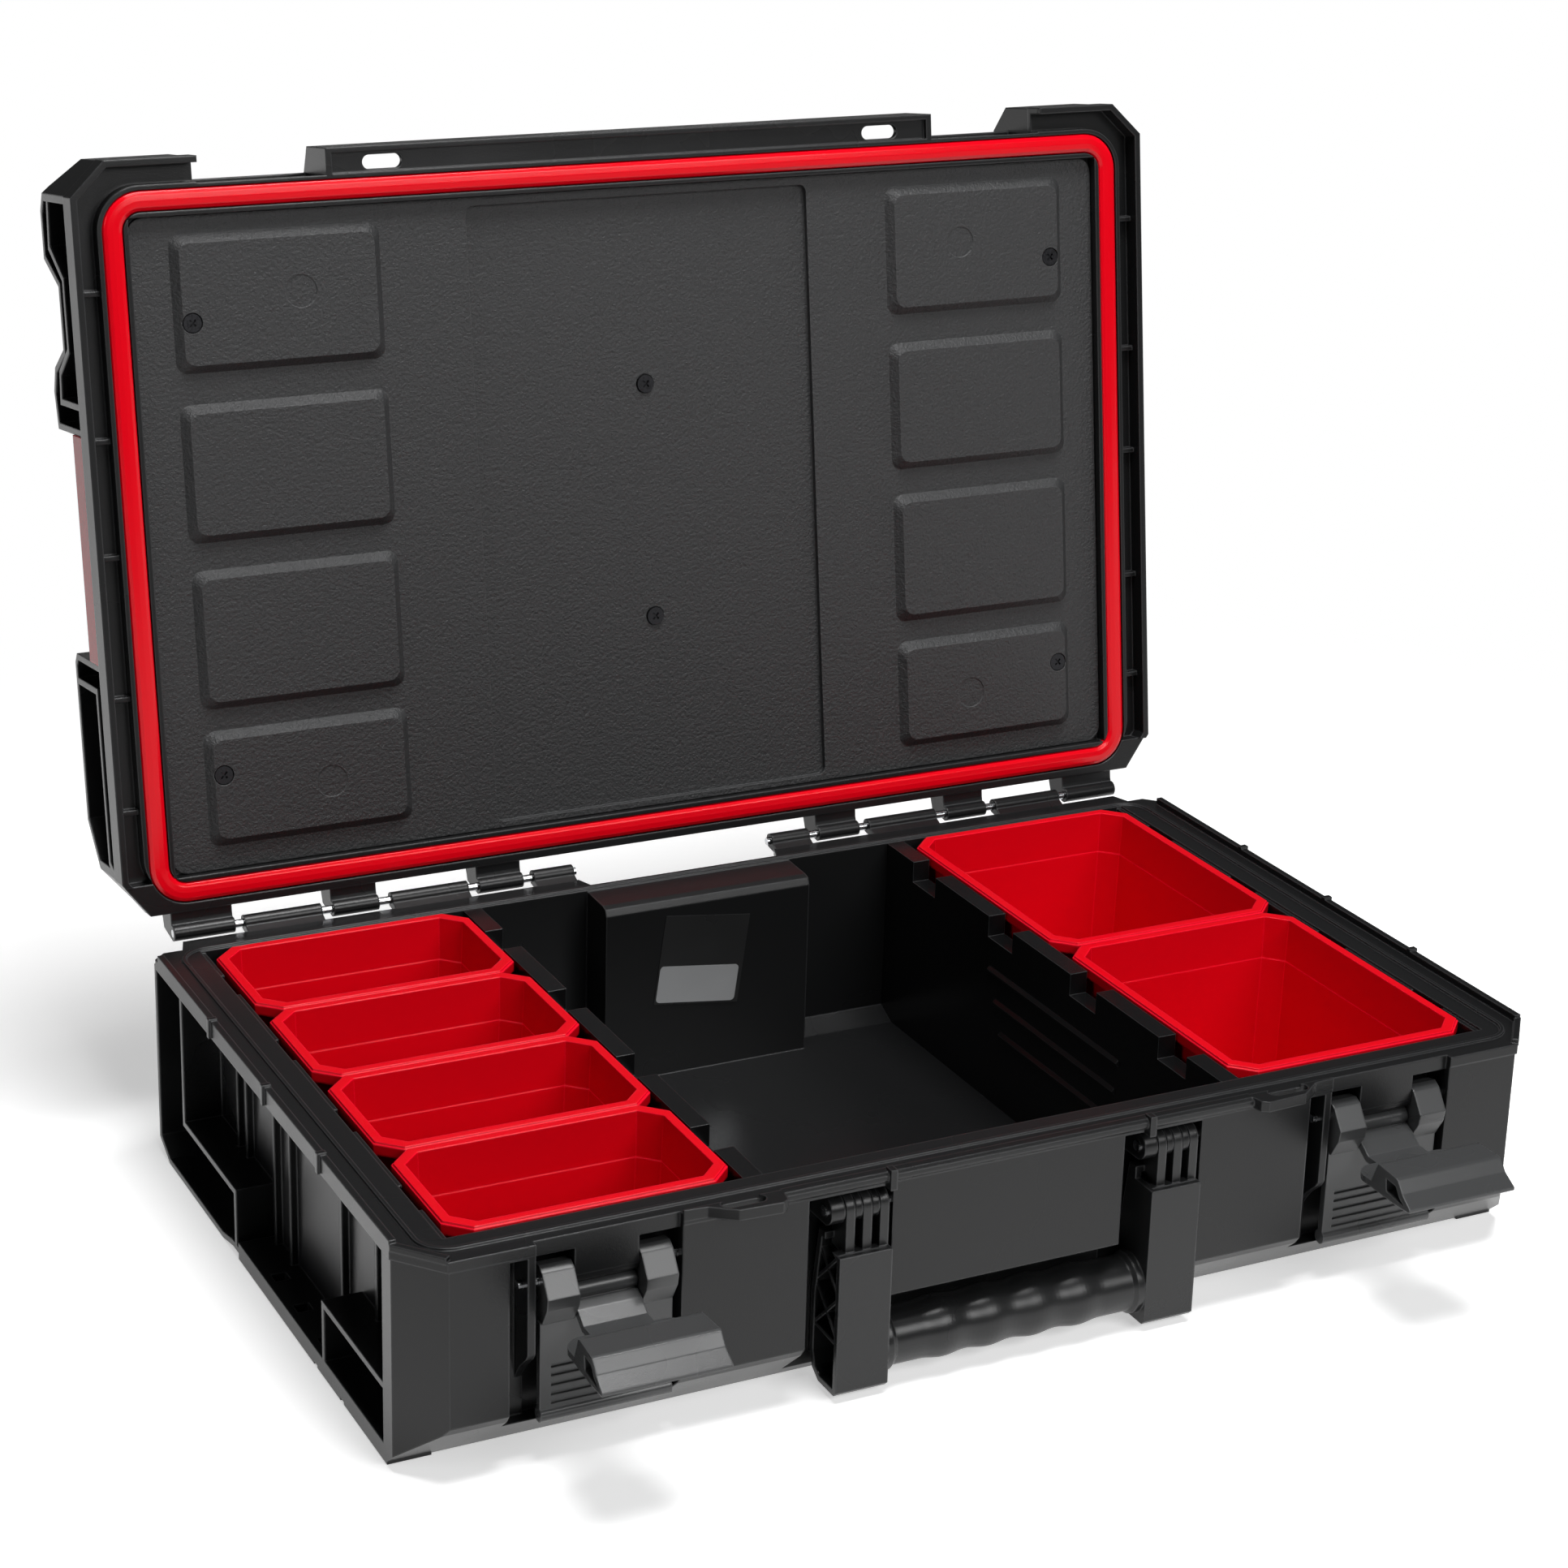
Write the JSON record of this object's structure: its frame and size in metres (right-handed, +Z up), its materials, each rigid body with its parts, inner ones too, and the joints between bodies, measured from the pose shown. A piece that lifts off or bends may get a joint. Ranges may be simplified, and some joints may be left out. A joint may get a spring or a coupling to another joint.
{
  "type": "tool_case",
  "caption": "Hard plastic tool case, open: black ribbed base with removable red bins, gasketed lid, swing-down carry handle and folding latches.",
  "frame": {"origin": "The middle of the underside of the base.", "axes": "+X right seen from the front, -Y to the latches and handle, +Z up."},
  "size_m": [0.585, 0.5291, 0.4776],
  "materials": {
    "black_plastic": "fine-grained polypropylene",
    "grey_plastic": "smooth moulded nylon",
    "liner_plastic": "leather-grained sheet",
    "red_plastic": "smooth moulded",
    "red_rubber": "smooth foam rubber",
    "steel": "bright drawn wire",
    "black_steel": "blackened",
    "label_film": "printed film, left blank"
  },
  "bodies": {
    "base": {"base_shell": "black_plastic", "divider_left": "black_plastic", "divider_right": "black_plastic", "blank_label": "label_film", "hinge_pin_left": "steel", "hinge_pin_right": "steel", "latch_pin_left": "steel", "latch_pin_right": "steel", "handle_pin_left": "steel", "handle_pin_right": "steel"},
    "lid": {"lid_shell": "black_plastic", "lid_band": "red_plastic", "lid_liner": "liner_plastic", "lid_gasket": "red_rubber", "liner_screws": "black_steel"},
    "lever_left": {"latch_lever_left": "grey_plastic", "hook_pin_left": "steel"},
    "lever_right": {"latch_lever_right": "grey_plastic", "hook_pin_right": "steel"},
    "hook_left": {"latch_hook_left": "grey_plastic"},
    "hook_right": {"latch_hook_right": "grey_plastic"},
    "handle": {"handle": "grey_plastic"},
    "bin_small_1": {"bin_small_1": "red_plastic"},
    "bin_small_2": {"bin_small_2": "red_plastic"},
    "bin_small_3": {"bin_small_3": "red_plastic"},
    "bin_small_4": {"bin_small_4": "red_plastic"},
    "bin_large_1": {"bin_large_1": "red_plastic"},
    "bin_large_2": {"bin_large_2": "red_plastic"}
  },
  "joints": [
    {"name": "lid_hinge", "type": "hinge", "parent": "base", "child": "lid", "pos_m": [0, 0.184, 0.106], "axis": [-1, 0, 0], "range_deg": [-98, 0]},
    {"name": "lever_left", "type": "hinge", "parent": "base", "child": "lever_left", "pos_m": [-0.196, -0.1735, 0.0834], "axis": [-1, 0, 0], "range_deg": [0, 90]},
    {"name": "hook_left", "type": "hinge", "parent": "lever_left", "child": "hook_left", "pos_m": [-0.196, -0.1726, 0.0752], "axis": [1, 0, 0], "range_deg": [-90, 0]},
    {"name": "lever_right", "type": "hinge", "parent": "base", "child": "lever_right", "pos_m": [0.196, -0.1735, 0.0834], "axis": [-1, 0, 0], "range_deg": [0, 90]},
    {"name": "hook_right", "type": "hinge", "parent": "lever_right", "child": "hook_right", "pos_m": [0.196, -0.1726, 0.0752], "axis": [1, 0, 0], "range_deg": [-90, 0]},
    {"name": "handle_swing", "type": "hinge", "parent": "base", "child": "handle", "pos_m": [0, -0.175, 0.089], "axis": [-1, 0, 0], "range_deg": [0, 90]},
    {"name": "lift_bin_small_1", "type": "slide", "parent": "base", "child": "bin_small_1", "axis": [0, 0, 1], "range_m": [0, 0.06]},
    {"name": "lift_bin_small_2", "type": "slide", "parent": "base", "child": "bin_small_2", "axis": [0, 0, 1], "range_m": [0, 0.06]},
    {"name": "lift_bin_small_3", "type": "slide", "parent": "base", "child": "bin_small_3", "axis": [0, 0, 1], "range_m": [0, 0.06]},
    {"name": "lift_bin_small_4", "type": "slide", "parent": "base", "child": "bin_small_4", "axis": [0, 0, 1], "range_m": [0, 0.06]},
    {"name": "lift_bin_large_1", "type": "slide", "parent": "base", "child": "bin_large_1", "axis": [0, 0, 1], "range_m": [0, 0.06]},
    {"name": "lift_bin_large_2", "type": "slide", "parent": "base", "child": "bin_large_2", "axis": [0, 0, 1], "range_m": [0, 0.06]}
  ]
}
